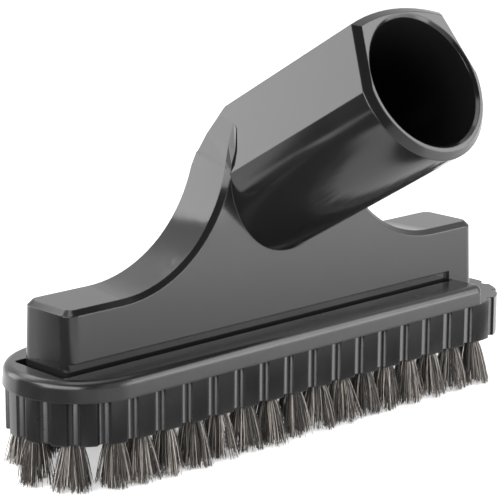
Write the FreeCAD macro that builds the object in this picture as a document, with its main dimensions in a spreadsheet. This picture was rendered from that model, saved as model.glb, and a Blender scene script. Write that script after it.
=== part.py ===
import FreeCAD, Part
import math
import os
import Sketcher

# Dusting brush for a vacuum wand: a flared nozzle with a tilted wand socket,
# and a tufted brush frame whose rails slide over the nozzle's foot.
# X runs along the nozzle, Y to its back and Z up. Inside the script each
# solid is drawn from the plane of the rail tops, midway along the nozzle,
# and its Placement then moves the origin to the middle of the socket, where
# its round wall starts just inside the mouth.

doc = FreeCAD.newDocument("dusting_brush")
sheet = doc.addObject("Spreadsheet::Sheet", "sizes")

# Driving sizes, in millimetres and degrees
DRIVING_SIZES = [
    ("base_length", 154.0, "nozzle base, end to end, at the rail tops"),
    ("base_width", 19.84, "nozzle base, front to back, at the rail tops"),
    ("base_height", 16.4, "flat shoulders above the rail tops"),
    ("wall_draft", 1.4, "lean of the moulded walls, degrees"),
    ("base_corner", 3.5, "upright corners of the base"),
    ("edge_bevel", 1.4, "bevel along the shoulders and the flare"),
    ("flare_start_front", 58.9, "where the flare leaves the shoulder, front"),
    ("flare_radius_front", 38.1, "hollow sweep of the flare, front"),
    ("flare_start_back", 55.5, "where the flare leaves the shoulder, back"),
    ("flare_radius_back", 36.8, "hollow sweep of the flare, back"),
    ("flare_top_front", 45.2, "height at which the flare dies into the neck"),
    ("flare_top_back", 48.2, "the same at the back wall"),
    ("wall", 2.4, "moulded wall of the nozzle"),
    ("neck_tilt", 30.2, "rise of the neck's axis, degrees"),
    ("neck_radius", 21.0, "round underside of the neck"),
    ("neck_top_half", 16.3, "half width of the neck's crowned top"),
    ("neck_top_height", 17.8, "corner of the top above the axis"),
    ("neck_crown_height", 20.4, "middle of the top above the axis"),
    ("mouth_reach", 57.84, "mouth's middle in front of the base's middle"),
    ("mouth_height", 72.61, "mouth's middle above the rail tops"),
    ("mouth_bevel", 1.75, "bevel of the mouth's outer edge"),
    ("elbow_radius", 45.0, "bend from the neck's top into the back wall"),
    ("bore_radius", 17.5, "wand socket"),
    ("bore_lead", 0.8, "bevelled lead-in of the socket"),
    ("socket_depth", 36.0, "socket, from the mouth to its stop"),
    ("stop_step", 1.2, "shoulder that stops the wand"),
    ("throat_radius", 40.0, "inner bend from the socket to the base"),
    ("throat_clearance", 0.3, "inner bend's start outside the socket"),
    ("groove_depth", 1.1, "slide groove along the base"),
    ("groove_height", 2.7, "top of the groove above the rail tops"),
    ("groove_end", 65.8, "where the groove stops, from the middle"),
    ("groove_corner", 0.8, "rounded end of the groove"),
    ("foot_half_width", 16.9, "flange under the base that the rails hold"),
    ("foot_end", 66.0, "where the flange stops, from the middle"),
    ("slide_clearance", 0.3, "gap round the foot in the rails"),
    ("rail_height", 5.5, "rails above the brush block"),
    ("lip_thickness", 2.5, "lips that turn in over the foot"),
    ("lip_half_opening", 10.4, "half of the slot between the lips"),
    ("lip_end_gap", 2.06, "lip's edge beyond the nozzle's closed end"),
    ("lip_corner", 1.5, "inner corners of the lip's edge"),
    ("rail_half_width", 20.8, "rails from the middle line, at their foot"),
    ("rail_lean", 5.0, "lean of the rails' outer sides, degrees"),
    ("rail_centre", 64.6, "centre of the rails' round end"),
    ("rail_end", 70.0, "open end of the rails"),
    ("rail_corner", 3.0, "rounded upright corners at the open end"),
    ("lead_length", 4.0, "lead-in of the lips at the open end"),
    ("lead_flare", 2.2, "how far the lead-in opens"),
    ("rail_edge_round", 2.2, "rounding of the rails' outer top edge"),
    ("block_height", 11.6, "brush block that holds the tufts"),
    ("block_half_width", 19.8, "brush block from the middle line"),
    ("block_left_centre", 65.0, "centre of the block's closed end"),
    ("block_right_centre", 69.0, "centre of the block's open end"),
    ("slot_half_width", 9.0, "suction slot through the block"),
    ("slot_half_length", 66.0, "suction slot, half of its length"),
    ("flute_pitch", 9.15, "step of the flutes along the sides"),
    ("flute_first", -64.4, "first flute on the straight sides"),
    ("flute_radius", 1.85, "hollow of each flute"),
    ("flute_depth", 1.5, "depth of each flute"),
    ("left_flute_step", 22.5, "step of the flutes round the closed end"),
    ("right_flute_step", 29.0, "step of the flutes round the open end"),
    ("tuft_ring", 16.7, "tufts from the middle line"),
    ("end_tuft_ring", 15.2, "tufts round the closed end, from its centre"),
    ("tuft_first", -60.2, "first tuft of the straight rows"),
    ("tuft_hole_radius", 2.5, "tuft holes"),
    ("tuft_hole_depth", 9.0, "tuft holes"),
    ("tuft_root_radius", 1.95, "bundle at the bottom of its hole"),
    ("tuft_tip_radius", 3.15, "bundle at its tip"),
    ("tuft_length", 12.7, "bundle below the block"),
    ("tuft_lean", 1.5, "outward lean of the bundles, degrees"),
    ("anchor_thickness", 0.5, "wire anchor across the bottom of a hole"),
    ("anchor_height", 1.6, "wire anchor, along the hole"),
    ("anchor_gap", 0.1, "between an anchor and its bundle"),
]
SIDE_COUNT = 15
LEFT_FLUTES = 9
RIGHT_FLUTES = 6
TUFT_SIDES = 12
BEVEL_ANGLE = 45.0
# Angles of the tufts round the closed end, from the front to the back
END_TUFT_ANGLES = [6.0, 48.0, 90.0, 146.0, 174.0]

for row, (alias, number, note) in enumerate(DRIVING_SIZES, start=1):
    sheet.set(f"A{row}", note)
    sheet.set(f"B{row}", str(number))
    sheet.setAlias(f"B{row}", alias)
doc.recompute()

# Heights and widths that several pieces share, as expressions
DRAFT = "tan(sizes.wall_draft)"
HALF_LENGTH = "sizes.base_length / 2"
HALF_WIDTH = "sizes.base_width / 2"
FOOT_BOTTOM = "(sizes.slide_clearance - sizes.rail_height)"
FOOT_TOP = "(-sizes.lip_thickness - sizes.slide_clearance)"
BLOCK_BOTTOM = "(-sizes.rail_height - sizes.block_height)"
ORIGIN_Y = "(sizes.mouth_reach - sizes.bore_lead * cos(sizes.neck_tilt))"
ORIGIN_Z = "(sizes.bore_lead * sin(sizes.neck_tilt) - sizes.mouth_height)"
OVERRUN = 2.0
FAR = 120.0


def value(expression):
    """Size that an expression comes to."""
    return float(sheet.evalExpression(str(expression)))


def sketch_on(body, name, role, turned_about=None):
    """Sketch on one of the body's own origin planes."""
    sketch = body.newObject("Sketcher::SketchObject", name)
    planes = [plane for plane in body.Origin.OriginFeatures if plane.Role == role]
    sketch.AttachmentSupport = (planes[0], "")
    sketch.MapMode = "FlatFace"
    if turned_about:
        sketch.AttachmentOffset = FreeCAD.Placement(
            FreeCAD.Vector(), FreeCAD.Rotation(FreeCAD.Vector(*turned_about), 30.0)
        )
    return sketch


def offset_sketch(sketch, x="0", y="0", z="0", angle=None):
    """Moves and turns a sketch in its plane's own axes, by expressions."""
    for axis, expression in (("x", x), ("y", y), ("z", z)):
        if expression != "0":
            sketch.setExpression(f"AttachmentOffset.Base.{axis}", expression)
    if angle:
        sketch.setExpression("AttachmentOffset.Rotation.Angle", angle)


def pin_point(sketch, edge, end, x, y):
    """Holds an edge's end at a place given by two expressions."""
    for kind, axis, expression in (("DistanceX", -2, x), ("DistanceY", -1, y)):
        if abs(value(expression)) < 1e-9:
            sketch.addConstraint(Sketcher.Constraint("PointOnObject", edge, end, axis))
        else:
            index = sketch.addConstraint(
                Sketcher.Constraint(kind, -1, 1, edge, end, value(expression))
            )
            sketch.setExpression(f"Constraints[{index}]", str(expression))


def add_outline(sketch, corners, arcs=None):
    """Closed outline through corners given as pairs of expressions.

    arcs gives, for the edge that leaves a corner, its radius as an expression
    (or None for a half circle) and the side of its centre: 1 left, -1 right.
    """
    arcs = arcs or {}
    points = [FreeCAD.Vector(value(x), value(y), 0) for x, y in corners]
    count = len(points)
    starts = []
    ends = []
    edges = []
    for index, start in enumerate(points):
        end = points[(index + 1) % count]
        if index not in arcs:
            edge = sketch.addGeometry(Part.LineSegment(start, end), False)
            starts.append((edge, 1))
            ends.append((edge, 2))
            edges.append(edge)
            continue
        radius, side = arcs[index]
        chord = end - start
        half = chord.Length / 2
        bend = half if radius is None else value(radius)
        left = FreeCAD.Vector(-chord.y, chord.x, 0).normalize()
        centre = (start + end) / 2 + left * side * math.sqrt(max(bend**2 - half**2, 0))
        middle = centre - left * side * bend
        arc = Part.Arc(start, middle, end)
        edge = sketch.addGeometry(arc, False)
        forward = (sketch.getPoint(edge, 1) - start).Length < 1e-6
        starts.append((edge, 1 if forward else 2))
        ends.append((edge, 2 if forward else 1))
        edges.append(edge)
    for index in range(count):
        follower = starts[(index + 1) % count]
        sketch.addConstraint(Sketcher.Constraint("Coincident", *ends[index], *follower))
    for index, (x, y) in enumerate(corners):
        pin_point(sketch, *starts[index], x, y)
    for index, (radius, side) in arcs.items():
        if radius is None:
            chord = points[(index + 1) % count] - points[index]
            level = "Horizontal" if abs(chord.x) > abs(chord.y) else "Vertical"
            sketch.addConstraint(
                Sketcher.Constraint(level, edges[index], 1, edges[index], 3)
            )
        else:
            bound = sketch.addConstraint(
                Sketcher.Constraint("Radius", edges[index], value(radius))
            )
            sketch.setExpression(f"Constraints[{bound}]", str(radius))


def add_circle(sketch, x, y, radius):
    """Circle whose centre and radius are expressions."""
    centre = FreeCAD.Vector(value(x), value(y), 0)
    circle = Part.Circle(centre, FreeCAD.Vector(0, 0, 1), value(radius))
    edge = sketch.addGeometry(circle, False)
    pin_point(sketch, edge, 3, x, y)
    bound = sketch.addConstraint(Sketcher.Constraint("Radius", edge, value(radius)))
    sketch.setExpression(f"Constraints[{bound}]", radius)


def add_polygon(sketch, x, y, radius):
    """Regular outline of a tuft hole, given by its middle and its corners' radius."""
    corners = []
    for corner in range(TUFT_SIDES):
        turn = corner * 360 / TUFT_SIDES
        corners.append((f"({x} + {radius} * cos({turn}))", f"({y} + {radius} * sin({turn}))"))
    add_outline(sketch, corners)


def new_body(name):
    return doc.addObject("PartDesign::Body", name)


def extrude(body, kind, sketch, length, reverse=False, both_ways=False):
    """Pad or Pocket of a sketch, with its length bound to an expression."""
    feature = body.newObject(f"PartDesign::{kind}", f"{sketch.Name}_{kind.lower()}")
    feature.Profile = sketch
    feature.setExpression("Length", length)
    feature.Reversed = reverse
    if both_ways:
        feature.Midplane = True
    doc.recompute()
    return feature


def repeat_along_x(body, feature, length, count):
    """Straight row of a feature."""
    pattern = body.newObject("PartDesign::LinearPattern", f"{feature.Name}_row")
    pattern.Originals = [feature]
    pattern.Direction = (feature.Profile[0], ["H_Axis"])
    pattern.setExpression("Length", length)
    pattern.Occurrences = count
    body.Tip = pattern
    doc.recompute()
    return pattern


def repeat_round(body, feature, angle, count):
    """Arc of a feature about its sketch's origin."""
    pattern = body.newObject("PartDesign::PolarPattern", f"{feature.Name}_ring")
    pattern.Originals = [feature]
    pattern.Axis = (feature.Profile[0], ["N_Axis"])
    pattern.setExpression("Angle", angle)
    pattern.Occurrences = count
    body.Tip = pattern
    doc.recompute()
    return pattern


def dress_edges(body, kind, name, size, wanted):
    """Fillet or Chamfer along every edge of the body for which wanted says yes."""
    base = body.Tip
    names = [
        f"Edge{number}"
        for number, edge in enumerate(base.Shape.Edges, start=1)
        if wanted(edge)
    ]
    dressed = body.newObject(f"PartDesign::{kind}", name)
    dressed.Base = (base, names)
    dressed.setExpression("Radius" if kind == "Fillet" else "Size", size)
    doc.recompute()
    return dressed


def side_walls(height, inset="0"):
    """Half width of the drafted base at a height, less a wall."""
    return f"({HALF_WIDTH} - {inset} - {height} * {DRAFT})"


def elbow_points(bend, reach_up, reach_back):
    """Centre and tangent points of the bend from the neck's top to the back wall.

    reach_up is the top's distance from the neck's axis, reach_back the back
    wall's distance from the middle, both to the surface that bends.
    """
    tilt = "sizes.neck_tilt"
    draft = "sizes.wall_draft"
    wall_line = f"({reach_back} * cos({draft}) - {bend})"
    top_line = (
        f"(sizes.mouth_height * cos({tilt}) - sizes.mouth_reach * sin({tilt})"
        f" + {reach_up} - {bend})"
    )
    turn = f"cos({tilt} + {draft})"
    centre_y = f"(({wall_line} * cos({tilt}) - {top_line} * sin({draft})) / {turn})"
    centre_z = f"(({top_line} * cos({draft}) - {wall_line} * sin({tilt})) / {turn})"
    on_wall = (
        f"({centre_y} + {bend} * cos({draft}))",
        f"({centre_z} + {bend} * sin({draft}))",
    )
    on_top = (
        f"({centre_y} + {bend} * sin({tilt}))",
        f"({centre_z} + {bend} * cos({tilt}))",
    )
    return on_wall, on_top


def flare_outline(sketch, start, sweep, top, inset):
    """Shoulders and hollow flare of the base, seen from the front."""
    low = f"({FOOT_BOTTOM} - {OVERRUN if inset != '0' else 0.0})"
    shoulder = f"(sizes.base_height - {inset})"
    bend = f"({sweep} + {inset})"
    crest = f"({top} - {inset})"
    rise = f"({shoulder} + {bend} - {crest})"
    inner = f"({start} - sqrt({bend} * {bend} - {rise} * {rise}))"
    low_end = f"({HALF_LENGTH} - {inset} - {low} * {DRAFT})"
    high_end = f"({HALF_LENGTH} - {inset} - {shoulder} * {DRAFT})"
    corners = [
        (f"-{low_end}", low),
        (low_end, low),
        (high_end, shoulder),
        (start, shoulder),
        (inner, crest),
        (f"-{inner}", crest),
        (f"-{start}", shoulder),
        (f"-{high_end}", shoulder),
    ]
    add_outline(sketch, corners, {3: (bend, -1), 5: (bend, -1)})


def flare_form(name, inset):
    """Base and flare as one block, trimmed to its drafted sides."""
    body = new_body(name)
    loft_half = f"({HALF_WIDTH} + 0.6)"
    front = sketch_on(body, f"{name}_front", "XZ_Plane")
    offset_sketch(front, z=loft_half)
    flare_outline(
        front,
        "sizes.flare_start_front",
        "sizes.flare_radius_front",
        "sizes.flare_top_front",
        inset,
    )
    back = sketch_on(body, f"{name}_back", "XZ_Plane")
    offset_sketch(back, z=f"-{loft_half}")
    flare_outline(
        back,
        "sizes.flare_start_back",
        "sizes.flare_radius_back",
        "sizes.flare_top_back",
        inset,
    )
    loft = body.newObject("PartDesign::AdditiveLoft", f"{name}_loft")
    loft.Profile = front
    loft.Sections = [back]
    loft.Ruled = True
    doc.recompute()
    sides = sketch_on(body, f"{name}_sides", "YZ_Plane")
    low = f"-{FAR / 4}"
    high = f"{FAR / 2}"
    add_outline(
        sides,
        [
            (f"-{side_walls(low, inset)}", low),
            (f"-{side_walls(high, inset)}", high),
            (f"-{FAR}", high),
            (f"-{FAR}", low),
        ],
    )
    add_outline(
        sides,
        [
            (side_walls(low, inset), low),
            (f"{FAR}", low),
            (f"{FAR}", high),
            (side_walls(high, inset), high),
        ],
    )
    extrude(body, "Pocket", sides, f"{2 * FAR}", both_ways=True)
    return body


def is_shoulder_edge(edge):
    """Edges along the top of the base and up the flare."""
    box = edge.BoundBox
    low = value("sizes.base_height") - 0.5
    along = box.XLength > box.YLength
    return box.ZMin > low and along and abs(box.Center.x) > 1.0


def is_end_corner(edge):
    """Upright corners at the two ends of the base."""
    box = edge.BoundBox
    near_end = abs(box.Center.x) > value(HALF_LENGTH) - 2.0
    return near_end and box.ZLength > box.XLength + box.YLength


def is_end_top(edge):
    """Short top edges across the two ends of the base."""
    box = edge.BoundBox
    near_end = abs(box.Center.x) > value(HALF_LENGTH) - 5.0
    return near_end and box.ZMin > value("sizes.base_height") - 0.5


base_form = flare_form("base_form", "0")
dress_edges(base_form, "Fillet", "base_corners", "sizes.base_corner", is_end_corner)
dress_edges(
    base_form,
    "Chamfer",
    "base_bevel",
    "sizes.edge_bevel",
    lambda edge: is_shoulder_edge(edge) or is_end_top(edge),
)

# Neck: round below, straight flanks and a crowned top, trimmed at the back wall.
# Its section stands one bevel inside the mouth, and a short cap narrows outwards.
neck_form = new_body("neck_form")
neck_section = sketch_on(neck_form, "neck_section", "XZ_Plane", turned_about=(-1, 0, 0))
offset_sketch(
    neck_section,
    y="sizes.mouth_height - sizes.mouth_bevel * sin(sizes.neck_tilt)",
    z="sizes.mouth_reach - sizes.mouth_bevel * cos(sizes.neck_tilt)",
    angle="sizes.neck_tilt",
)
crown_rise = "(sizes.neck_crown_height - sizes.neck_top_height)"
crown_radius = (
    f"((sizes.neck_top_half * sizes.neck_top_half + {crown_rise} * {crown_rise})"
    f" / (2 * {crown_rise}))"
)
add_outline(
    neck_section,
    [
        ("-sizes.neck_radius", "0"),
        ("sizes.neck_radius", "0"),
        ("sizes.neck_top_half", "sizes.neck_top_height"),
        ("-sizes.neck_top_half", "sizes.neck_top_height"),
    ],
    {0: (None, 1), 2: (crown_radius, 1)},
)
extrude(neck_form, "Pad", neck_section, f"{FAR}", reverse=True)
mouth_cap = extrude(neck_form, "Pad", neck_section, "sizes.mouth_bevel")
mouth_cap.TaperAngle = -BEVEL_ANGLE
doc.recompute()
neck_back = sketch_on(neck_form, "neck_back", "YZ_Plane")
add_outline(
    neck_back,
    [
        (side_walls(f"-{FAR}", "sizes.wall / 2"), f"-{FAR}"),
        (f"{FAR}", f"-{FAR}"),
        (f"{FAR}", f"{FAR}"),
        (side_walls(f"{FAR}", "sizes.wall / 2"), f"{FAR}"),
    ],
)
extrude(neck_form, "Pocket", neck_back, f"{2 * FAR}", both_ways=True)


def elbow_waste(name, bend, reach_up, reach_back):
    """What lies outside the bend from the neck's top into the back wall."""
    body = new_body(name)
    section = sketch_on(body, f"{name}_section", "YZ_Plane")
    on_wall, on_top = elbow_points(bend, reach_up, reach_back)
    add_outline(
        section,
        [
            (f"{FAR}", on_wall[1]),
            (f"{FAR}", f"{FAR}"),
            (f"({on_top[0]} + {FAR / 2} * sin(sizes.neck_tilt))", f"{FAR}"),
            on_top,
            on_wall,
        ],
        {3: (bend, -1)},
    )
    extrude(body, "Pad", section, f"{FAR}", both_ways=True)
    return body


outer_waste = elbow_waste(
    "outer_waste", "sizes.elbow_radius", "sizes.neck_crown_height", HALF_WIDTH
)
inner_waste = elbow_waste(
    "inner_waste",
    "sizes.throat_radius",
    "(sizes.bore_radius - sizes.stop_step + sizes.throat_clearance)",
    f"({HALF_WIDTH} - sizes.wall)",
)

# Foot flange that the rails hold
foot_form = new_body("foot_form")
foot_plan = sketch_on(foot_form, "foot_plan", "XY_Plane")
offset_sketch(foot_plan, z=FOOT_BOTTOM)
add_outline(
    foot_plan,
    [
        ("-sizes.rail_centre", "-sizes.foot_half_width"),
        ("sizes.foot_end", "-sizes.foot_half_width"),
        ("sizes.foot_end", "sizes.foot_half_width"),
        ("-sizes.rail_centre", "sizes.foot_half_width"),
    ],
    {3: (None, 1)},
)
extrude(foot_form, "Pad", foot_plan, f"{FOOT_TOP} - {FOOT_BOTTOM}")

# Hollow of the base and flare, open below
base_hollow = flare_form("base_hollow", "sizes.wall")

# Hollow of the socket, with its lead-in, its stop and the narrower throat beyond
bore_hollow = new_body("bore_hollow")
bore_profile = sketch_on(bore_hollow, "bore_profile", "YZ_Plane", turned_about=(0, 0, 1))
offset_sketch(
    bore_profile,
    x="-sizes.mouth_reach",
    y="sizes.mouth_height",
    angle="90 - sizes.neck_tilt",
)
throat_bore = "(sizes.bore_radius - sizes.stop_step)"
add_outline(
    bore_profile,
    [
        ("0", f"-{FAR}"),
        (throat_bore, f"-{FAR}"),
        (throat_bore, "-sizes.socket_depth"),
        ("sizes.bore_radius", "-sizes.socket_depth"),
        ("sizes.bore_radius", "-sizes.bore_lead"),
        ("sizes.bore_radius + sizes.bore_lead", "0"),
        ("sizes.bore_radius + sizes.bore_lead", f"{OVERRUN}"),
        ("0", f"{OVERRUN}"),
    ],
)
bore = bore_hollow.newObject("PartDesign::Revolution", "bore")
bore.Profile = bore_profile
bore.ReferenceAxis = (bore_profile, ["V_Axis"])
bore.Angle = 360
doc.recompute()
throat = sketch_on(bore_hollow, "throat", "YZ_Plane")
throat_low = FOOT_BOTTOM
throat_high = f"{FAR}"
add_outline(
    throat,
    [
        (f"-{side_walls(throat_low, 'sizes.wall')}", f"-{FAR}"),
        (f"{FAR}", f"-{FAR}"),
        (f"{FAR}", throat_high),
        (side_walls(throat_high, "sizes.wall"), throat_high),
        (side_walls(throat_low, "sizes.wall"), throat_low),
        (f"-{side_walls(throat_low, 'sizes.wall')}", throat_low),
    ],
)
extrude(bore_hollow, "Pocket", throat, f"{2 * FAR}", both_ways=True)

# Slide grooves along the front and back of the base
groove_hollow = new_body("groove_hollow")
groove_plan = sketch_on(groove_hollow, "groove_plan", "XY_Plane")
offset_sketch(groove_plan, z=FOOT_TOP)
groove_inner = f"({HALF_WIDTH} - sizes.groove_depth)"
groove_outer = f"({HALF_WIDTH} + {OVERRUN})"
groove_left = f"(-{HALF_LENGTH} - {OVERRUN})"
for side in ("", "-"):
    turn = 1 if side else -1
    add_outline(
        groove_plan,
        [
            (groove_left, f"{side}{groove_inner}"),
            ("sizes.groove_end - sizes.groove_corner", f"{side}{groove_inner}"),
            ("sizes.groove_end", f"{side}({groove_inner} + sizes.groove_corner)"),
            ("sizes.groove_end", f"{side}{groove_outer}"),
            (groove_left, f"{side}{groove_outer}"),
        ],
        {1: ("sizes.groove_corner", -turn)},
    )
extrude(groove_hollow, "Pad", groove_plan, f"sizes.groove_height - {FOOT_TOP}")

# One-piece nozzle


def fused(name, *pieces):
    """Pieces joined into one."""
    union = doc.addObject("Part::MultiFuse", name)
    union.Shapes = list(pieces)
    return union


def cut(name, base, tool):
    """Base less a tool."""
    remainder = doc.addObject("Part::Cut", name)
    remainder.Base = base
    remainder.Tool = tool
    return remainder


nozzle_block = fused("nozzle_block", base_form, neck_form)
nozzle_outer = cut("nozzle_outer", nozzle_block, outer_waste)
nozzle_grooved = cut("nozzle_grooved", nozzle_outer, groove_hollow)
nozzle_footed = fused("nozzle_footed", nozzle_grooved, foot_form)
nozzle_cavity = fused("nozzle_cavity", base_hollow, bore_hollow)
nozzle_hollow = cut("nozzle_hollow", nozzle_cavity, inner_waste)
nozzle = cut("nozzle", nozzle_footed, nozzle_hollow)
nozzle.Label = "nozzle_body"
doc.recompute()

# Brush frame: fluted block below, rails and lips above
frame = new_body("frame")
frame.Label = "brush_frame"
block_plan = sketch_on(frame, "block_plan", "XY_Plane")
offset_sketch(block_plan, z="-sizes.rail_height")
add_outline(
    block_plan,
    [
        ("-sizes.block_left_centre", "-sizes.block_half_width"),
        ("sizes.block_right_centre", "-sizes.block_half_width"),
        ("sizes.block_right_centre", "sizes.block_half_width"),
        ("-sizes.block_left_centre", "sizes.block_half_width"),
    ],
    {1: (None, 1), 3: (None, 1)},
)
extrude(frame, "Pad", block_plan, "sizes.block_height", reverse=True)
rail_plan = sketch_on(frame, "rail_plan", "XY_Plane")
offset_sketch(rail_plan, z="-sizes.rail_height")
rail_turn = "(sizes.rail_end - sizes.rail_corner)"
rail_side = "(sizes.rail_half_width - sizes.rail_corner)"
add_outline(
    rail_plan,
    [
        ("-sizes.rail_centre", "-sizes.rail_half_width"),
        (rail_turn, "-sizes.rail_half_width"),
        ("sizes.rail_end", f"-{rail_side}"),
        ("sizes.rail_end", rail_side),
        (rail_turn, "sizes.rail_half_width"),
        ("-sizes.rail_centre", "sizes.rail_half_width"),
    ],
    {
        1: ("sizes.rail_corner", 1),
        3: ("sizes.rail_corner", 1),
        5: (None, 1),
    },
)
rails = extrude(frame, "Pad", rail_plan, "sizes.rail_height")
rails.setExpression("TaperAngle", "-sizes.rail_lean")
doc.recompute()


def is_rail_top(edge):
    """Outer top edge of the rails, round their closed end too."""
    box = edge.BoundBox
    on_top = abs(box.ZMax) < 1e-4 and abs(box.ZMin) < 1e-4
    return on_top


dress_edges(frame, "Fillet", "rail_rounding", "sizes.rail_edge_round", is_rail_top)
channel_plan = sketch_on(frame, "channel_plan", "XY_Plane")
offset_sketch(channel_plan, z="-sizes.rail_height")
channel_half = "(sizes.foot_half_width + sizes.slide_clearance)"
channel_far = f"(sizes.rail_end + {OVERRUN})"
add_outline(
    channel_plan,
    [
        ("-sizes.rail_centre", f"-{channel_half}"),
        (channel_far, f"-{channel_half}"),
        (channel_far, channel_half),
        ("-sizes.rail_centre", channel_half),
    ],
    {3: (None, 1)},
)
extrude(frame, "Pocket", channel_plan, "sizes.rail_height - sizes.lip_thickness", reverse=True)
lip_plan = sketch_on(frame, "lip_plan", "XY_Plane")
lip_left = f"(-{HALF_LENGTH} - sizes.lip_end_gap)"
lip_turn = "(sizes.lip_half_opening - sizes.lip_corner)"
lead_start = "(sizes.rail_end - sizes.lead_length)"
lead_end = f"(sizes.rail_end + {OVERRUN})"
lead_radius = (
    "((sizes.lead_length * sizes.lead_length + sizes.lead_flare * sizes.lead_flare)"
    " / (2 * sizes.lead_flare))"
)
lead_half = "(sizes.lip_half_opening + sizes.lead_flare)"
add_outline(
    lip_plan,
    [
        (f"({lip_left} + sizes.lip_corner)", "-sizes.lip_half_opening"),
        (lead_start, "-sizes.lip_half_opening"),
        ("sizes.rail_end", f"-{lead_half}"),
        (lead_end, f"-{lead_half}"),
        (lead_end, lead_half),
        ("sizes.rail_end", lead_half),
        (lead_start, "sizes.lip_half_opening"),
        (f"({lip_left} + sizes.lip_corner)", "sizes.lip_half_opening"),
        (lip_left, lip_turn),
        (lip_left, f"-{lip_turn}"),
    ],
    {
        1: (lead_radius, -1),
        5: (lead_radius, -1),
        7: ("sizes.lip_corner", 1),
        9: ("sizes.lip_corner", 1),
    },
)
extrude(frame, "Pocket", lip_plan, "sizes.lip_thickness")
slot_plan = sketch_on(frame, "slot_plan", "XY_Plane")
offset_sketch(slot_plan, z="-sizes.rail_height")
slot_turn = "(sizes.slot_half_length - sizes.slot_half_width)"
add_outline(
    slot_plan,
    [
        (f"-{slot_turn}", "-sizes.slot_half_width"),
        (slot_turn, "-sizes.slot_half_width"),
        (slot_turn, "sizes.slot_half_width"),
        (f"-{slot_turn}", "sizes.slot_half_width"),
    ],
    {1: (None, 1), 3: (None, 1)},
)
extrude(frame, "Pocket", slot_plan, "sizes.block_height")

# Flutes: upright hollows along both sides and round both ends of the block
flute_out = "(sizes.block_half_width - sizes.flute_depth + sizes.flute_radius)"
side_flutes = sketch_on(frame, "side_flutes", "XY_Plane")
offset_sketch(side_flutes, z="-sizes.rail_height")
add_circle(side_flutes, "sizes.flute_first", f"-{flute_out}", "sizes.flute_radius")
add_circle(side_flutes, "sizes.flute_first", flute_out, "sizes.flute_radius")
side_pocket = extrude(frame, "Pocket", side_flutes, "sizes.block_height")
repeat_along_x(
    frame, side_pocket, f"sizes.flute_pitch * {SIDE_COUNT - 1}", SIDE_COUNT
)
left_flutes = sketch_on(frame, "left_flutes", "XY_Plane")
offset_sketch(left_flutes, x="-sizes.block_left_centre", z="-sizes.rail_height")
left_step = "sizes.left_flute_step"
add_circle(
    left_flutes,
    f"-{flute_out} * sin({left_step})",
    f"{flute_out} * cos({left_step})",
    "sizes.flute_radius",
)
left_pocket = extrude(frame, "Pocket", left_flutes, "sizes.block_height")
repeat_round(frame, left_pocket, f"{left_step} * {LEFT_FLUTES - 3}", LEFT_FLUTES - 2)
right_flutes = sketch_on(frame, "right_flutes", "XY_Plane")
offset_sketch(right_flutes, x="sizes.block_right_centre", z="-sizes.rail_height")
right_half_turn = f"(sizes.right_flute_step * {(RIGHT_FLUTES - 1) / 2})"
add_circle(
    right_flutes,
    f"{flute_out} * cos({right_half_turn})",
    f"-{flute_out} * sin({right_half_turn})",
    "sizes.flute_radius",
)
right_pocket = extrude(frame, "Pocket", right_flutes, "sizes.block_height")
repeat_round(
    frame,
    right_pocket,
    f"sizes.right_flute_step * {RIGHT_FLUTES - 1}",
    RIGHT_FLUTES,
)

# Blind tuft holes from the underside, with few flat sides to keep them light
side_holes = sketch_on(frame, "side_holes", "XY_Plane")
offset_sketch(side_holes, z=BLOCK_BOTTOM)
add_polygon(side_holes, "sizes.tuft_first", "-sizes.tuft_ring", "sizes.tuft_hole_radius")
add_polygon(side_holes, "sizes.tuft_first", "sizes.tuft_ring", "sizes.tuft_hole_radius")
hole_pocket = extrude(frame, "Pocket", side_holes, "sizes.tuft_hole_depth", reverse=True)
repeat_along_x(
    frame, hole_pocket, f"sizes.flute_pitch * {SIDE_COUNT - 1}", SIDE_COUNT
)
end_holes = sketch_on(frame, "end_holes", "XY_Plane")
offset_sketch(end_holes, z=BLOCK_BOTTOM)
tuft_places = []
for angle in END_TUFT_ANGLES:
    place_x = f"(-sizes.block_left_centre - sizes.end_tuft_ring * sin({angle}))"
    place_y = f"(-sizes.end_tuft_ring * cos({angle}))"
    add_polygon(end_holes, place_x, place_y, "sizes.tuft_hole_radius")
    tuft_places.append((place_x, place_y, angle))
extrude(frame, "Pocket", end_holes, "sizes.tuft_hole_depth", reverse=True)
for number in range(SIDE_COUNT):
    place_x = f"(sizes.tuft_first + sizes.flute_pitch * {number})"
    tuft_places.append((place_x, "(-sizes.tuft_ring)", 0.0))
for number in range(SIDE_COUNT):
    place_x = f"(sizes.tuft_first + sizes.flute_pitch * {number})"
    tuft_places.append((place_x, "sizes.tuft_ring", 180.0))

# Tufts: each bundle of bristles as one closed form that narrows up into its hole
bundle_depth = "(sizes.tuft_hole_depth - sizes.anchor_height - 2 * sizes.anchor_gap)"
bundle_length = f"(sizes.tuft_length + {bundle_depth})"
flat_share = f"cos({180 / TUFT_SIDES})"


def bundle_solid():
    """One bundle, tip down on the ground plane: flat sides that narrow upwards."""
    rings = []
    for radius, level in (
        (value("sizes.tuft_tip_radius"), 0.0),
        (value("sizes.tuft_root_radius"), value(bundle_length)),
    ):
        turns = [2 * math.pi * corner / TUFT_SIDES for corner in range(TUFT_SIDES)]
        rings.append(
            [
                FreeCAD.Vector(radius * math.cos(turn), radius * math.sin(turn), level)
                for turn in turns
            ]
        )
    tip, root = rings
    faces = [Part.Face(Part.makePolygon(ring + ring[:1])) for ring in rings]
    for corner in range(TUFT_SIDES):
        after = (corner + 1) % TUFT_SIDES
        side = [tip[corner], tip[after], root[after], root[corner], tip[corner]]
        faces.append(Part.Face(Part.makePolygon(side)))
    solid = Part.makeSolid(Part.makeShell(faces))
    if solid.Volume < 0:
        solid.reverse()
    return solid


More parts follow.
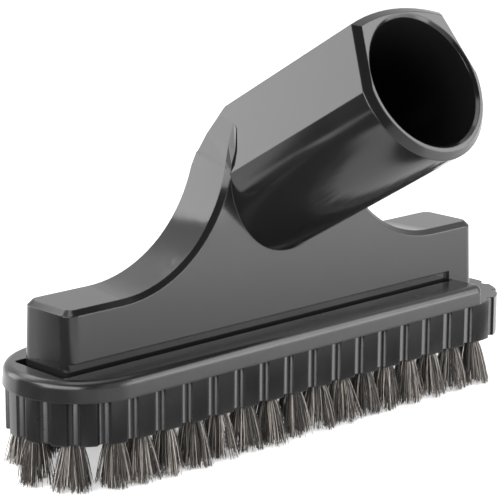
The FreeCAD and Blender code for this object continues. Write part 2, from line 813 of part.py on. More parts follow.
bundle = bundle_solid()
tufts = []
for number, (place_x, place_y, angle) in enumerate(tuft_places, start=1):
    tuft = doc.addObject("Part::Feature", f"tuft_{number:02d}")
    tuft.Label = f"tuft_{number:02d}"
    tuft.Shape = bundle.copy()
    outward = FreeCAD.Vector(-math.sin(math.radians(angle)), -math.cos(math.radians(angle)), 0)
    hinge_line = FreeCAD.Vector(0, 0, 1).cross(outward)
    lean = value("sizes.tuft_lean")
    turn = FreeCAD.Rotation(hinge_line, -lean)
    foot = turn.multVec(FreeCAD.Vector(0, 0, -value("sizes.tuft_length")))
    tuft.Placement = FreeCAD.Placement(FreeCAD.Vector(), turn)
    tuft.setExpression("Placement.Base.x", f"{place_x} + {foot.x}")
    tuft.setExpression("Placement.Base.y", f"{place_y} + {foot.y} + {ORIGIN_Y}")
    tuft.setExpression("Placement.Base.z", f"{BLOCK_BOTTOM} - sizes.tuft_length + {ORIGIN_Z}")
    tufts.append(tuft)

# Wire anchors, one across the bottom of each hole
anchor_solids = []
for place_x, place_y, angle in tuft_places:
    length = 2 * value(f"sizes.tuft_hole_radius * {flat_share} - sizes.anchor_gap")
    thick = value("sizes.anchor_thickness")
    tall = value("sizes.anchor_height")
    strip = Part.makeBox(length, thick, tall, FreeCAD.Vector(-length / 2, -thick / 2, -tall))
    strip.rotate(FreeCAD.Vector(), FreeCAD.Vector(0, 0, 1), -angle)
    top = value(f"{BLOCK_BOTTOM} + sizes.tuft_hole_depth")
    strip.translate(FreeCAD.Vector(value(place_x), value(place_y), top))
    anchor_solids.append(strip)
anchors = doc.addObject("Part::Feature", "tuft_anchors")
anchors.Shape = Part.makeCompound(anchor_solids)
anchors.Label = "tuft_anchors"

# Move the origin into the socket's mouth
for piece in (nozzle, frame, anchors):
    piece.setExpression("Placement.Base.y", ORIGIN_Y)
    piece.setExpression("Placement.Base.z", ORIGIN_Z)
doc.recompute()

for item in doc.Objects:
    if {"Invalid", "Error"} & set(item.State):
        raise RuntimeError(f"{item.Name} did not build: {item.State}")
os.makedirs("parts", exist_ok=True)
for piece in [nozzle, frame, anchors] + tufts:
    if piece.Shape.isNull() or not piece.Shape.isValid():
        raise RuntimeError(f"{piece.Label} has no valid shape")
for piece in [nozzle, frame, anchors] + tufts:
    piece.Shape.exportStep(f"parts/{piece.Label}.step")
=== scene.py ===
# %% [markdown]
# A dusting brush for a vacuum wand: a black moulded nozzle with a tilted socket,
# and a slide-on brush frame with a ring of bristle tufts under it. Both mouldings
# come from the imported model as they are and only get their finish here. The tufts
# are made here, because a bundle of hairs is no solid.

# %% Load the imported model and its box
import math
import random

import bmesh
import bpy
from mathutils import Matrix, Vector


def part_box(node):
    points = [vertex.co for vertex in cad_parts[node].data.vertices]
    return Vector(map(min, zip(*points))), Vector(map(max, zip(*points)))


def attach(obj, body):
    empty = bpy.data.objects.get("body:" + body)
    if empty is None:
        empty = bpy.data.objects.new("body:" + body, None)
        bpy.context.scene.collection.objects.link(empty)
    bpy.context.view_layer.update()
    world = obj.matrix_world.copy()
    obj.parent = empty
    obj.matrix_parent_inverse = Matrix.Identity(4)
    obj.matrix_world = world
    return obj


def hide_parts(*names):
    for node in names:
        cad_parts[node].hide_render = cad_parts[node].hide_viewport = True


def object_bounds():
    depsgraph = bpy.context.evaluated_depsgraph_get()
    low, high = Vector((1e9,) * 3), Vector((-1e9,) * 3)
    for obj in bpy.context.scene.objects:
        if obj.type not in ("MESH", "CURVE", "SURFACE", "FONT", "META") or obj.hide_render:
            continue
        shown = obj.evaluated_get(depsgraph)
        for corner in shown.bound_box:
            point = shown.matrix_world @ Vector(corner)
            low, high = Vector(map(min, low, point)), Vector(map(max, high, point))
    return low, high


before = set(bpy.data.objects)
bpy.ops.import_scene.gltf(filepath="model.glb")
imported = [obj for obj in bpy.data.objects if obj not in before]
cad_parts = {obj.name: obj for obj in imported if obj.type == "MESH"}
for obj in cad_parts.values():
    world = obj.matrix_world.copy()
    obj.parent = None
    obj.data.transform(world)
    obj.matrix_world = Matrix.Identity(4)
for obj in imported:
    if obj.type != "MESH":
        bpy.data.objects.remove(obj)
cad_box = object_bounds()
MM = 0.001
FLOOR_LEVEL = cad_box[0][2]
print("box of the packed model:", cad_box)

# %% [markdown]
# The camera stands to the left and in front of the brush, a little above it, with
# a long lens. It could be moved by eye until the view looks right, but its place
# was found by matching the straight edges and the round mouth of the real object.
# So it is written as a point, three angles and a lens.

# %% Directions of the camera
CAMERA_PLACE = Vector((-0.4022, -0.36195, 0.08899))
CAMERA_AZIMUTH = math.radians(-43.43)
CAMERA_ELEVATION = math.radians(13.83)
CAMERA_ROLL = math.radians(0.31)

right = Vector((math.cos(CAMERA_AZIMUTH), math.sin(CAMERA_AZIMUTH), 0.0))
ahead = Vector((
    -math.cos(CAMERA_ELEVATION) * math.sin(CAMERA_AZIMUTH),
    math.cos(CAMERA_ELEVATION) * math.cos(CAMERA_AZIMUTH),
    -math.sin(CAMERA_ELEVATION),
))
up = right.cross(ahead)
rolled_right = right * math.cos(CAMERA_ROLL) + up * math.sin(CAMERA_ROLL)
rolled_up = up * math.cos(CAMERA_ROLL) - right * math.sin(CAMERA_ROLL)
print("camera looks along", [round(part, 3) for part in ahead])


# %% Camera
LENS_MM = 156.48
SENSOR_MM = 36.0
CLIP_START = 0.01
CLIP_END = 20.0


def new_object(name, data):
    """New object that holds some data, linked to the scene."""
    made = bpy.data.objects.new(name, data)
    bpy.context.scene.collection.objects.link(made)
    return made


camera_data = bpy.data.cameras.new("camera")
camera_data.lens = LENS_MM
camera_data.sensor_width = SENSOR_MM
camera_data.clip_start = CLIP_START
camera_data.clip_end = CLIP_END
camera = new_object("camera", camera_data)
facing = Matrix((rolled_right, rolled_up, -ahead)).transposed().to_4x4()
camera.matrix_world = Matrix.Translation(CAMERA_PLACE) @ facing
bpy.context.scene.camera = camera
print("camera lens:", LENS_MM, "mm on a film of", SENSOR_MM, "mm")

# %% [markdown]
# The brush stands on a plain pale floor. A floor that is lit until it is white
# would throw that light on the brush too. So the floor keeps a plain light, and a
# Light Path node adds some glow that only the camera and mirror-like rays see. The
# floor fades into the white surround and still keeps the soft shadow.


# %% Floor
FLOOR_HALF = 1.6


def mesh_of(shape, name):
    """Mesh data made from a finished bmesh."""
    mesh = bpy.data.meshes.new(name)
    shape.to_mesh(mesh)
    shape.free()
    return mesh


floor_shape = bmesh.new()
bmesh.ops.create_grid(floor_shape, x_segments=1, y_segments=1, size=FLOOR_HALF)
floor = new_object("floor", mesh_of(floor_shape, "floor"))
floor.location = (0.0, 0.0, FLOOR_LEVEL)
print("floor is", 2 * FLOOR_HALF, "m wide, at a height of", round(FLOOR_LEVEL, 4), "m")


# %% Helpers for materials
def grey(value):
    """Opaque grey as a colour."""
    return (value, value, value, 1.0)


def new_material(name):
    """Node material and its shader."""
    material = bpy.data.materials.new(name)
    material.use_nodes = True
    return material, material.node_tree.nodes["Principled BSDF"]


def set_inputs(node, values):
    """Sets input sockets of a node by their names."""
    for label, value in values.items():
        node.inputs[label].default_value = value


def calculate(tree, operation, first, second):
    """Maths node's result; each input is a socket or a number."""
    step = tree.nodes.new("ShaderNodeMath")
    step.operation = operation
    for index, value in enumerate((first, second)):
        if isinstance(value, float):
            step.inputs[index].default_value = value
        else:
            tree.links.new(value, step.inputs[index])
    return step.outputs["Value"]


print("a grey of a half is the colour", grey(0.5))


# %% Colours that differ by what looks at them
def seen_directly(tree):
    """Socket that is 1 for camera, glossy and transmission rays, and 0 for the rest."""
    path = tree.nodes.new("ShaderNodeLightPath")
    camera_ray = path.outputs["Is Camera Ray"]
    seen = calculate(tree, "MAXIMUM", camera_ray, path.outputs["Is Glossy Ray"])
    return calculate(tree, "MAXIMUM", seen, path.outputs["Is Transmission Ray"])


def shown_and_hidden(tree, shown, hidden):
    """Colour socket: one grey for rays that see it directly, another for the rest."""
    choice = tree.nodes.new("ShaderNodeMix")
    choice.data_type = "RGBA"
    set_inputs(choice, {"A": grey(hidden), "B": grey(shown)})
    tree.links.new(seen_directly(tree), choice.inputs["Factor"])
    return choice.outputs["Result"]


print("a pale surface knows camera, glossy and transmission rays from the rest")

# %% Finish of the floor
FLOOR_WHITE = 0.85
FLOOR_GLOW = 0.5
FLOOR_ROUGHNESS = 0.9

floor_finish, floor_shader = new_material("floor_white")
set_inputs(floor_shader, {
    "Base Color": grey(FLOOR_WHITE),
    "Roughness": FLOOR_ROUGHNESS,
    "Specular IOR Level": 0.0,
    "Emission Strength": 1.0,
})
floor_glow = shown_and_hidden(floor_finish.node_tree, FLOOR_GLOW, 0.0)
floor_finish.node_tree.links.new(floor_glow, floor_shader.inputs["Emission Color"])
floor_finish.cycles.emission_sampling = "NONE"
floor.data.materials.append(floor_finish)
print("floor is", FLOOR_WHITE, "bright, and glows by", FLOOR_GLOW, "where it is seen")

# %% [markdown]
# The surround is treated in the same way: it is white where the camera or a
# reflection sees it, and gives the brush only a plain fill from all sides.

# %% Surround
SURROUND_SHOWN = 1.0
SURROUND_FILL = 0.4

world = bpy.data.worlds.new("surround")
bpy.context.scene.world = world
world.use_nodes = True
background = world.node_tree.nodes["Background"]
set_inputs(background, {"Strength": 1.0})
surround = shown_and_hidden(world.node_tree, SURROUND_SHOWN, SURROUND_FILL)
world.node_tree.links.new(surround, background.inputs["Color"])
print("surround shows as", SURROUND_SHOWN, "and lights with", SURROUND_FILL)

# %% [markdown]
# Black gloss shows mostly what it mirrors, so the places of the lights decide
# which of its faces look pale. They could be moved by eye. Here the direction
# that each face mirrors was worked out first, and a soft panel stands there:
#
# - panel_behind stands low behind the brush on the left, for the neck's flank.
# - panel_high stands further up behind it, for the top of the flare. The gap
#   between these two leaves a dark band across the flare.
# - panel_above gives plain light from overhead.
# - panel_mouth stands in front on the right and faces the mouth.
# - panel_wall stands close to the long front wall, and panel_flutes beside the
#   closed end, for the fluted side.


# %% Helpers for panels
def stand(holder, place, target, front):
    """Puts an object at a place, with its front axis towards a target."""
    holder.location = place
    towards = Vector(target) - Vector(place)
    holder.rotation_euler = towards.to_track_quat(front, "Y").to_euler()


def panel(name, place, target, size, radiance):
    """Soft panel of a given brightness that faces a target."""
    light = bpy.data.lights.new(name, "AREA")
    light.shape = "RECTANGLE"
    light.size, light.size_y = size
    light.energy = math.pi * size[0] * size[1] * radiance
    stand(new_object(name, light), place, target, "-Z")
    print(name, "at", place, "gives", round(light.energy, 2), "W")


# %% Panels
MIDDLE = (0.0, 0.04, -0.05)

panel("panel_behind", place=(-0.44, 0.78, 0.15), target=MIDDLE, size=(0.5, 0.48), radiance=4.1)
panel("panel_high", place=(0.0, 0.62, 0.56), target=MIDDLE, size=(0.9, 0.28), radiance=3.4)
panel("panel_above", place=(-0.1, -0.05, 0.9), target=MIDDLE, size=(0.6, 0.6), radiance=2.2)
panel("panel_mouth", place=(0.55, -0.38, 0.42), target=MIDDLE, size=(0.35, 0.45), radiance=5.0)
panel(
    "panel_wall",
    place=(0.20, -0.17, -0.03), target=(0.20, 0.1, -0.04), size=(0.34, 0.13), radiance=5.8,
)
panel(
    "panel_flutes",
    place=(-0.24, 0.0, 0.005), target=(0.0, 0.02, -0.03), size=(0.26, 0.12), radiance=7.0,
)

# %% [markdown]
# A black object needs something dark to mirror as well, or its gloss turns into
# an even grey. Studios stand dark cards round it for that. These are seen in
# reflections alone, and they throw no shadow. Two large ones stand behind and
# above the camera. Two lie on the floor, in front of the fluted side and to the
# left of the closed end. They are a painted shadow: they stand in for the brush's
# own shadow on the floor, where its ribbed sides mirror the floor. The last stands
# beside the nozzle's end wall and darkens its lower part.


# %% One dark card
CARD_SHADE = 0.02
GRID_HALF = 0.5  # a grid 1 m wide, which is then scaled to the card's size

card_finish, card_shader = new_material("card_dark")
set_inputs(card_shader, {
    "Base Color": grey(CARD_SHADE),
    "Roughness": 1.0,
    "Specular IOR Level": 0.0,
})


def card(name, place, target, size):
    """Matt card that faces a target and is only seen in reflections."""
    shape = bmesh.new()
    bmesh.ops.create_grid(shape, x_segments=1, y_segments=1, size=GRID_HALF)
    bmesh.ops.scale(shape, vec=(*size, 1.0), verts=shape.verts)
    holder = new_object(name, mesh_of(shape, name))
    holder.data.materials.append(card_finish)
    stand(holder, place, target, "Z")
    holder.visible_camera = False
    holder.visible_diffuse = False
    holder.visible_shadow = False
    print(name, "at", [round(part, 3) for part in place], "is", size[0], "by", size[1], "m")


# %% Dark cards
CARD_LIFT = 1.0 * MM
WELL_ABOVE = 1.0


def painted_floor_shadow(name, x, y, size):
    """Dark card that lies on the floor: a painted shadow of the brush, seen only in reflections.
    """
    card(name, (x, y, FLOOR_LEVEL + CARD_LIFT), (x, y, WELL_ABOVE), size)


card("card_camera", place=(-0.62, -0.42, 0.38), target=MIDDLE, size=(1.1, 1.1))
card("card_above", place=(0.08, -0.30, 0.64), target=MIDDLE, size=(1.1, 0.42))
# Painted shadow: two dark cards on the floor stand in for the brush's own shadow where the ribs
# mirror the floor.
painted_floor_shadow("painted_shadow_front", x=0.025, y=-0.006, size=(0.25, 0.044))
painted_floor_shadow("painted_shadow_left", x=-0.25, y=0.01, size=(0.3, 0.17))
card(
    "card_end",
    place=(-0.175, 0.1025, -0.065), target=(-0.075, -0.0225, -0.065), size=(0.1, 0.074),
)

# %% [markdown]
# The plastic is black and smooth, with the very faint unevenness of a moulded
# skin: fine dimples, and a slow waviness that also makes the gloss a little
# sharper or duller from place to place. That could be painted as an image, but
# two noises on Object coordinates do it at any scale. They are a group, built
# once, because three black finishes use it.

# %% Group of the moulded skin
skin_group = bpy.data.node_groups.new("moulded skin", "ShaderNodeTree")
for label in ("Grain Scale", "Wave Scale"):
    skin_group.interface.new_socket(label, in_out="INPUT", socket_type="NodeSocketFloat")
for label in ("Height", "Gloss"):
    skin_group.interface.new_socket(label, in_out="OUTPUT", socket_type="NodeSocketFloat")
skin_in = skin_group.nodes.new("NodeGroupInput")
skin_out = skin_group.nodes.new("NodeGroupOutput")
print("sockets of the group:", [socket.name for socket in skin_group.interface.items_tree])

# %% Noises of the moulded skin
GRAIN_DETAIL = 3.0
WAVE_DETAIL = 2.0

skin_place = skin_group.nodes.new("ShaderNodeTexCoord")


def skin_noise(scale_name, detail):
    """Noise on Object coordinates; one of the group's inputs is its scale."""
    noise = skin_group.nodes.new("ShaderNodeTexNoise")
    set_inputs(noise, {"Detail": detail})
    skin_group.links.new(skin_place.outputs["Object"], noise.inputs["Vector"])
    skin_group.links.new(skin_in.outputs[scale_name], noise.inputs["Scale"])
    return noise.outputs["Fac"]


grain = skin_noise("Grain Scale", GRAIN_DETAIL)
wave = skin_noise("Wave Scale", WAVE_DETAIL)
print("nodes in the group so far:", len(skin_group.nodes))

# %% Height and gloss of the moulded skin
GRAIN_SHARE = 0.12
WAVE_LOW = 0.3
WAVE_HIGH = 0.7

height = skin_group.nodes.new("ShaderNodeMath")
height.operation = "MULTIPLY_ADD"
height.inputs[1].default_value = GRAIN_SHARE
skin_group.links.new(grain, height.inputs[0])
skin_group.links.new(wave, height.inputs[2])
skin_group.links.new(height.outputs["Value"], skin_out.inputs["Height"])

gloss = skin_group.nodes.new("ShaderNodeMapRange")
set_inputs(gloss, {"From Min": WAVE_LOW, "From Max": WAVE_HIGH})
skin_group.links.new(wave, gloss.inputs["Value"])
skin_group.links.new(gloss.outputs["Result"], skin_out.inputs["Gloss"])
print("nodes in the finished group:", len(skin_group.nodes))

# %% [markdown]
# The walls between the ribs of the brush frame's fluted sides lean back a little
# on the real object, as moulded walls do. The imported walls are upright, and the
# lean is too slight to see in their outline. It shows in the gloss alone, so it
# is made by turning the normal up there. A mask finds those walls: seen from
# above, the block is a straight bar with round ends, and the walls lie nearer to
# its middle line than the ribs do.

# %% Mask of the flutes
BLOCK_LEFT = -65.0 * MM
BLOCK_RIGHT = 69.0 * MM
BLOCK_AXIS_Y = 57.15 * MM
FLUTE_EDGE = 19.65 * MM
FLUTE_TOP = -77.8 * MM


def in_flutes(tree):
    """Socket that is 1 in the flutes and 0 elsewhere."""
    place = tree.nodes.new("ShaderNodeTexCoord")
    split = tree.nodes.new("ShaderNodeSeparateXYZ")
    tree.links.new(place.outputs["Object"], split.inputs["Vector"])
    nearest = calculate(tree, "MAXIMUM", split.outputs["X"], BLOCK_LEFT)
    nearest = calculate(tree, "MINIMUM", nearest, BLOCK_RIGHT)
    along = calculate(tree, "SUBTRACT", split.outputs["X"], nearest)
    across = calculate(tree, "SUBTRACT", split.outputs["Y"], BLOCK_AXIS_Y)
    along_squared = calculate(tree, "MULTIPLY", along, along)
    across_squared = calculate(tree, "MULTIPLY", across, across)
    squared = calculate(tree, "ADD", along_squared, across_squared)
    inside = calculate(tree, "LESS_THAN", squared, FLUTE_EDGE**2)
    below = calculate(tree, "LESS_THAN", split.outputs["Z"], FLUTE_TOP)
    return calculate(tree, "MULTIPLY", inside, below)


print("flutes lie within", round(FLUTE_EDGE / MM, 2), "mm of the block's middle line")

# %% Lean of the flutes
FLUTE_DRAFT = math.radians(14.0)


def lean_flutes(tree, normal):
    """Turns a normal up a little in the flutes."""
    lean = tree.nodes.new("ShaderNodeCombineXYZ")
    lean_up = calculate(tree, "MULTIPLY", in_flutes(tree), math.tan(FLUTE_DRAFT))
    tree.links.new(lean_up, lean.inputs["Z"])
    turned = tree.nodes.new("ShaderNodeVectorMath")
    turned.operation = "ADD"
    tree.links.new(normal, turned.inputs[0])
    tree.links.new(lean.outputs["Vector"], turned.inputs[1])
    even = tree.nodes.new("ShaderNodeVectorMath")
    even.operation = "NORMALIZE"
    tree.links.new(turned.outputs["Vector"], even.inputs[0])
    return even.outputs["Vector"]


print("normals in the flutes turn up by", round(math.degrees(FLUTE_DRAFT)), "degrees")

# %% [markdown]
# Moulded edges are never quite sharp, and a thin line of light on them gives the
# plastic away. Bevelled meshes would do that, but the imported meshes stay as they
# are, so a Bevel node rounds the edges in the shading. The dimples come on top
# with a Bump node. The nozzle is a little glossier than the brush frame.

# %% Normal of the black plastic
EDGE_ROUND = 0.45 * MM
EDGE_SAMPLES = 6
SKIN_STRENGTH = 0.2
SKIN_DEPTH = 0.1 * MM


def moulded_normal(tree, skin, edge_round):
    """Normal with rounded edges and the skin's dimples."""
    edges = tree.nodes.new("ShaderNodeBevel")
    edges.samples = EDGE_SAMPLES
    set_inputs(edges, {"Radius": edge_round})
    bump = tree.nodes.new("ShaderNodeBump")
    set_inputs(bump, {"Strength": SKIN_STRENGTH, "Distance": SKIN_DEPTH})
    tree.links.new(edges.outputs["Normal"], bump.inputs["Normal"])
    tree.links.new(skin.outputs["Height"], bump.inputs["Height"])
    return bump.outputs["Normal"]


print("edges look rounded by", EDGE_ROUND / MM, "mm")

# %% Black plastic
GRAIN_SCALE = 2600.0
WAVE_SCALE = 55.0
BLACK = 0.01
BLUE_TINT = 1.04
PLASTIC_IOR = 1.46


def black_plastic(name, roughness, edge_round=EDGE_ROUND, fluted=False):
    """Glossy black moulding, with the ends of its roughness."""
    material, shader = new_material(name)
    tree = material.node_tree
    skin = tree.nodes.new("ShaderNodeGroup")
    skin.node_tree = skin_group
    set_inputs(skin, {"Grain Scale": GRAIN_SCALE, "Wave Scale": WAVE_SCALE})
    normal = moulded_normal(tree, skin, edge_round)
    if fluted:
        normal = lean_flutes(tree, normal)
    tree.links.new(normal, shader.inputs["Normal"])
    rough = tree.nodes.new("ShaderNodeMapRange")
    set_inputs(rough, {"To Min": roughness[0], "To Max": roughness[1]})
    tree.links.new(skin.outputs["Gloss"], rough.inputs["Value"])
    tree.links.new(rough.outputs["Result"], shader.inputs["Roughness"])
    set_inputs(shader, {"Base Color": (BLACK, BLACK, BLACK * BLUE_TINT, 1.0), "IOR": PLASTIC_IOR})
    print(name, "has", len(tree.nodes), "nodes and a roughness of", roughness)
    return material


# %% Black finishes
NOZZLE_ROUGHNESS = (0.1, 0.17)
FRAME_ROUGHNESS = (0.2, 0.28)

nozzle_finish = black_plastic("nozzle_black", NOZZLE_ROUGHNESS)
wedge_finish = black_plastic("wedge_black", NOZZLE_ROUGHNESS, edge_round=0.0)
frame_finish = black_plastic("frame_black", FRAME_ROUGHNESS, fluted=True)

# %% [markdown]
# The anchors that hold the tufts are short strips of plain wire, deep in their
# holes. They can't be seen from outside, so a plain bare metal is enough.

# %% Anchor wire
WIRE_GREY = 0.6
WIRE_ROUGHNESS = 0.35

wire_finish, wire_shader = new_material("anchor_wire")
set_inputs(wire_shader, {
    "Base Color": grey(WIRE_GREY),
    "Metallic": 1.0,
    "Roughness": WIRE_ROUGHNESS,
})
print("anchor wire is", WIRE_GREY, "bright")

# %% [markdown]
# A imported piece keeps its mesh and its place. Only its material slots change.


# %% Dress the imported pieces
def dress(node_name, material):
    """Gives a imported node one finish."""
    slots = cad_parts[node_name].data.materials
    slots.clear()
    slots.append(material)
    print(node_name, "wears", material.name)


dress("nozzle_body", nozzle_finish)
dress("brush_frame", frame_finish)
dress("tuft_anchors", wire_finish)

# %% [markdown]
# On the real nozzle the flare runs out smoothly into the neck's flanks, where the
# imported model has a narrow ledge. A slim wedge on each side fills that ledge. A
# block cut to shape would need many cuts, so each wedge starts as a strip of four
# rungs, from the ledge's edge up to the flank, and is then thickened into the
# wall behind it, so that no seam stays open. Its edges meet the nozzle at a low
# angle, so its finish is the nozzle's without the rounded edges.

# %% Rungs of a wedge
WEDGE_RUNGS_MM = [
    ((-20.97, 48.1, -27.7), (-21.7, 49.9, -27.3), (-19.8, 63.4, -25.4)),
    ((-21.1, 47.9, -25.7), (-21.02, 50.15, -25.1), (-19.2, 62.5, -23.4)),
    ((-20.05, 47.6, -22.0), (-19.77, 50.6, -21.0), (-18.1, 60.9, -19.6)),
    ((-18.4, 49.0, -16.5), (-17.81, 50.8, -15.5), (-16.66, 57.7, -14.5)),
]
WEDGE_DEPTH = 1.7 * MM


def strip_of_rungs():
    """Bmesh of a strip of faces between the rungs, from front to back."""
    strip = bmesh.new()
    rungs = []
    for rung in WEDGE_RUNGS_MM:
        rungs.append([strip.verts.new(Vector(spot) * MM) for spot in rung])
    for low, high in zip(rungs, rungs[1:]):
        for front in range(len(low) - 1):
            back = front + 1
            strip.faces.new((low[front], high[front], high[back], low[back]))
    return strip


print("a wedge has", len(WEDGE_RUNGS_MM), "rungs")


# %% Wedges between the flare and the neck
def flare_wedge(name, side):
    """Wedge on one flank of the neck; side is 1 for the left and -1 for the right."""
    wedge = strip_of_rungs()
    grown = bmesh.ops.extrude_face_region(wedge, geom=wedge.faces[:])
    moved = [part for part in grown["geom"] if isinstance(part, bmesh.types.BMVert)]
    bmesh.ops.translate(wedge, vec=(WEDGE_DEPTH, 0.0, 0.0), verts=moved)
    bmesh.ops.scale(wedge, vec=(side, 1.0, 1.0), verts=wedge.verts)
    bmesh.ops.recalc_face_normals(wedge, faces=wedge.faces)
    piece = new_object(name, mesh_of(wedge, name))
    piece.data.materials.append(wedge_finish)
    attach(piece, "nozzle")
    print(name, "has", len(piece.data.polygons), "faces")


flare_wedge("flare_wedge_left", 1)
flare_wedge("flare_wedge_right", -1)

# %% [markdown]
# The hair is a natural mix: many strands are near black and many are pale
# grey-brown, each much the same from end to end. A noise over the tuft would
# paint blotches across the strands. So every strand carries its own tone as an
# attribute, and the finish only reads that.

# %% Finish of the hair
HAIR_DARK = (0.012, 0.010, 0.009, 1.0)
HAIR_MIDDLE = (0.07, 0.06, 0.053, 1.0)
HAIR_PALE = (0.56, 0.51, 0.46, 1.0)
MIDDLE_TONE = 0.55
HAIR_ROUGHNESS = 0.4
TONE_NAME = "strand_tone"

hair_finish, hair_shader = new_material("bristle_hair")
hair_tree = hair_finish.node_tree
strand = hair_tree.nodes.new("ShaderNodeAttribute")
strand.attribute_name = TONE_NAME
ramp = hair_tree.nodes.new("ShaderNodeValToRGB")
ramp.color_ramp.elements[0].color = HAIR_DARK
ramp.color_ramp.elements[1].color = HAIR_PALE
ramp.color_ramp.elements.new(MIDDLE_TONE).color = HAIR_MIDDLE
hair_tree.links.new(strand.outputs["Fac"], ramp.inputs["Fac"])
hair_tree.links.new(ramp.outputs["Color"], hair_shader.inputs["Base Color"])
set_inputs(hair_shader, {"Roughness": HAIR_ROUGHNESS})
print("hair runs from", HAIR_DARK[:3], "to", HAIR_PALE[:3])

# %% [markdown]
# Each tuft is a bundle of a few hundred hairs. They leave their hole close
# together, flare at once and stand in small clumps, as bristle does once it is
# trimmed. A particle system could grow them, but it leaves nothing to export. So
# a hair is a short curve with a thin section, which becomes a mesh with few
# faces. The tufts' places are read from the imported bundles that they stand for.


# %% Ends of a packed bundle
def bundle_ends(node):
    """Middles of a packed bundle's root and tip."""
    corners = [vertex.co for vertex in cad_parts[node].data.vertices]
    heights = [corner.z for corner in corners]
    half_way = (min(heights) + max(heights)) / 2
    tips = [corner for corner in corners if corner.z < half_way]
    roots = [corner for corner in corners if corner.z > half_way]
    return sum(roots, Vector()) / len(roots), sum(tips, Vector()) / len(tips)


print("tuft_01 runs from", bundle_ends("tuft_01")[0], "to", bundle_ends("tuft_01")[1])

# %% Line of one hair
BLOCK_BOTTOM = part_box("brush_frame")[0][2]

# How far down each point of a hair is (0 at the root, 1 at the block, 2 at the
# tip), and how far from the middle the bundle reaches there
HAIR_STATIONS = [
    (0.0, 1.6 * MM),
    (1.0, 2.25 * MM),
    (1.14, 3.0 * MM),
    (1.4, 3.75 * MM),
    (1.7, 4.5 * MM),
    (2.0, 5.1 * MM),
]


def hair_points(root, tip, outward, shift, bend, spare):
    """Points of one hair, from its root in the hole to its tip."""
    exit_share = (root.z - BLOCK_BOTTOM) / (root.z - tip.z)
    points = []
    for station, width in HAIR_STATIONS:
        hidden = min(1.0, station)
        free = max(0.0, station - 1.0)
        share = exit_share * hidden + (1.0 - exit_share) * free
        spot = root.lerp(tip, share) + outward * width
        spot += shift * free
        spot += bend * math.sin(math.pi * free)
        spot.z += spare * free
        points.append(spot)
    return points


print("a hair has", len(HAIR_STATIONS), "points, and leaves the block at", BLOCK_BOTTOM)

# %% [markdown]
# Chance makes the hairs differ: each clump has its own direction, lean, length
# and share of pale hairs, and each hair departs a little from its clump. The
# draws come from a seeded source, so each run gives the same tufts.

# %% Chance in a clump
PALE_CLUMPS = 0.45
PALE_IN_PALE_CLUMP = 0.4
PALE_IN_DARK_CLUMP = 0.15
INNERMOST = 0.02
CLUMP_SHIFT_MM = 0.45
CLUMP_SPARE_MM = 0.5


def sideways(chance, spread_mm):
    """Random offset across a tuft."""
    return Vector((chance.gauss(0.0, spread_mm), chance.gauss(0.0, spread_mm), 0.0)) * MM


def draw_clump(chance):
    """Direction, reach, offset, missing length and share of pale hairs of a clump."""
    turn = chance.uniform(0.0, 2.0 * math.pi)
    reach = math.sqrt(chance.uniform(INNERMOST, 1.0))
    shift = sideways(chance, CLUMP_SHIFT_MM)
    spare = abs(chance.gauss(0.0, CLUMP_SPARE_MM)) * MM
    pale_share = PALE_IN_PALE_CLUMP if chance.random() < PALE_CLUMPS else PALE_IN_DARK_CLUMP
    return turn, reach, shift, spare, pale_share


print("share of pale clumps:", PALE_CLUMPS)

# %% Chance in a hair
HAIR_TURN = 0.22
HAIR_REACH = 0.09
FURTHEST_REACH = 1.08
HAIR_SHIFT_MM = 0.22
HAIR_BEND_MM = 0.22
HAIR_SPARE_MM = 0.35
PALE_TONES = (0.7, 1.0)
DARK_TONES = (0.0, 0.5)


def draw_hair(chance, clump_turn, clump_reach, clump_shift, clump_spare):
    """Outward reach, offset, bend and missing length of a hair in its clump."""
    turn = clump_turn + chance.gauss(0.0, HAIR_TURN)
    reach = min(FURTHEST_REACH, clump_reach + chance.gauss(0.0, HAIR_REACH))
    outward = Vector((math.cos(turn), math.sin(turn), 0.0)) * reach
    shift = clump_shift + sideways(chance, HAIR_SHIFT_MM)
    bend = sideways(chance, HAIR_BEND_MM)
    spare = clump_spare + abs(chance.gauss(0.0, HAIR_SPARE_MM)) * MM
    return outward, shift, bend, spare


def draw_tone(chance, pale_share):
    """Tone of a hair, pale or dark."""
    pale = chance.uniform(*PALE_TONES)
    dark = chance.uniform(*DARK_TONES)
    return pale if chance.random() < pale_share else dark


print("pale hairs have tones of", PALE_TONES, "and dark ones of", DARK_TONES)

# %% Curve of one tuft
CLUMPS = 33
HAIRS_IN_CLUMP = 11
HAIR_RADIUS = 0.1 * MM
HAIR_TAPER = 0.07


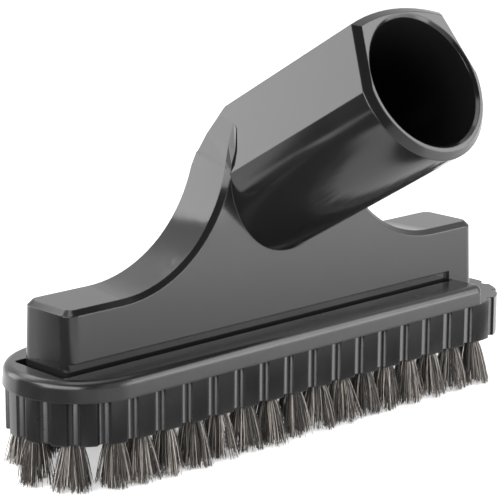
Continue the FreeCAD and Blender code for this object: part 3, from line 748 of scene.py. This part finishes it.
def add_hair(curve, points):
    """Adds one hair to a curve, a little thinner at each point."""
    spline = curve.splines.new("POLY")
    spline.points.add(len(points) - 1)
    for index, spot in enumerate(points):
        spline.points[index].co = (*spot, 1.0)
        spline.points[index].radius = 1.0 - HAIR_TAPER * index


def tuft_curve(name, root, tip, chance):
    """Curve with one thin spline for each hair, and the hairs' tones."""
    curve = bpy.data.curves.new(name, "CURVE")
    curve.dimensions = "3D"
    curve.bevel_depth = HAIR_RADIUS
    curve.bevel_resolution = 0
    curve.resolution_u = 1
    tones = []
    for _ in range(CLUMPS):
        *clump, pale_share = draw_clump(chance)
        for _ in range(HAIRS_IN_CLUMP):
            add_hair(curve, hair_points(root, tip, *draw_hair(chance, *clump)))
            tones.append(draw_tone(chance, pale_share))
    return curve, tones


print("a tuft has", CLUMPS * HAIRS_IN_CLUMP, "hairs")


# %% Mesh of one tuft
def mesh_of_curve(name, curve):
    """Mesh made from a curve with its thin section."""
    holder = new_object(name, curve)
    graph = bpy.context.evaluated_depsgraph_get()
    mesh = bpy.data.meshes.new_from_object(holder.evaluated_get(graph))
    bpy.data.objects.remove(holder)
    return mesh


def hair_tuft(name, root, tip, seed):
    """Bundle of hairs between a packed bundle's root and tip."""
    curve, tones = tuft_curve(name, root, tip, random.Random(seed))
    mesh = mesh_of_curve(name, curve)
    each = len(mesh.vertices) // len(tones)
    attribute = mesh.attributes.new(TONE_NAME, "FLOAT", "POINT")
    attribute.data.foreach_set("value", [tone for tone in tones for _ in range(each)])
    mesh.materials.clear()
    mesh.materials.append(hair_finish)
    return new_object(name, mesh)


# %% All tufts
FIRST_SEED = 11

tuft_nodes = sorted(
    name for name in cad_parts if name.startswith("tuft_") and name != "tuft_anchors"
)
for number, node in enumerate(tuft_nodes):
    root, tip = bundle_ends(node)
    bundle = hair_tuft(f"hair_{node}", root, tip, seed=FIRST_SEED + number)
    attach(bundle, "brush")
    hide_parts(node)
print("tufts made:", len(tuft_nodes), "with", len(bundle.data.polygons), "faces in the last")

# %% [markdown]
# Last, the view settings stay plain.

# %% View settings
bpy.context.scene.view_settings.view_transform = "Standard"
